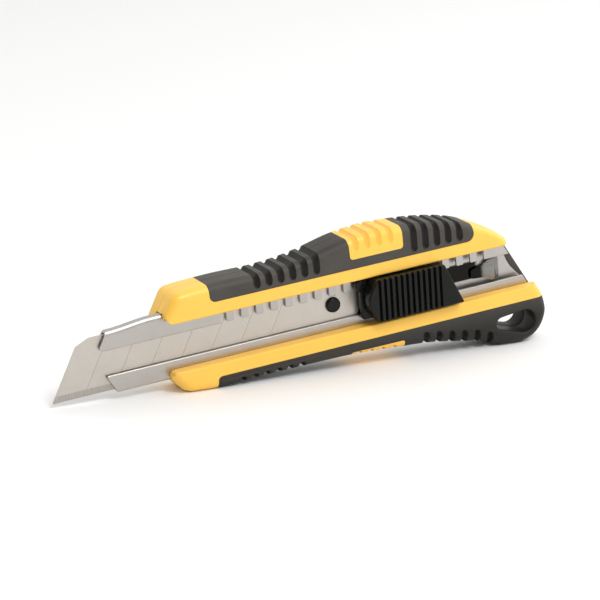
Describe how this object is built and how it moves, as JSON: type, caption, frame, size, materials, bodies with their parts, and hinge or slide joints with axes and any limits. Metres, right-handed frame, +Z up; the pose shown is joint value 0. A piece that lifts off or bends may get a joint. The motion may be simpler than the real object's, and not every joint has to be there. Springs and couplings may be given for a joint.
{
  "type": "utility knife",
  "caption": "Snap-off utility knife with a steel-lined plastic handle, soft grips, a ribbed auto-lock slider and a scored blade that slides along its channel.",
  "frame": {"origin": "middle of the overall box, on the surface that the two belly pads stand on", "axes": "+Z up with the knife standing on its belly, +X along its length towards the hang hole, and -Y the side with the slider"},
  "size_m": [0.1694, 0.017, 0.0442],
  "materials": {
    "body_plastic": "satin moulded yellow plastic with softly polished edges",
    "grip_rubber": "matt black soft grip with a fine spark-eroded grain",
    "slider_plastic": "satin black moulded plastic",
    "sheath_steel": "satin rolled steel strip, drawn lengthwise",
    "spring_steel": "bright bent spring strip",
    "blade_steel": "fine ground blade steel with a crosswise-ground cutting bevel"
  },
  "bodies": {
    "handle": {"body_shell": "body_plastic", "upper_grip": "grip_rubber", "lower_grip": "grip_rubber", "back_grip": "grip_rubber", "blade_sheath": "sheath_steel", "slider_stop": "spring_steel"},
    "slider": {"blade_carrier": "slider_plastic", "blade": "blade_steel"},
    "knob": {"slider_knob": "slider_plastic"},
    "lock": {"lock_spring": "spring_steel"}
  },
  "joints": [
    {"name": "blade_slide", "type": "slide", "parent": "handle", "child": "slider", "axis": [0.9955, 0, 0.0943], "range_m": [-0.05555, 0.0202]},
    {"name": "knob_shift", "type": "slide", "parent": "slider", "child": "knob", "axis": [0.9955, 0, 0.0943], "range_m": [-0.0012, 0.0012], "stiffness_N_per_m": 300},
    {"name": "lock_tooth", "type": "hinge", "parent": "slider", "child": "lock", "pos_m": [0.02016, 0, 0.02261], "axis": [0, -1, 0], "range_deg": [0, 6.5], "stiffness_Nm_per_rad": 0.09}
  ]
}
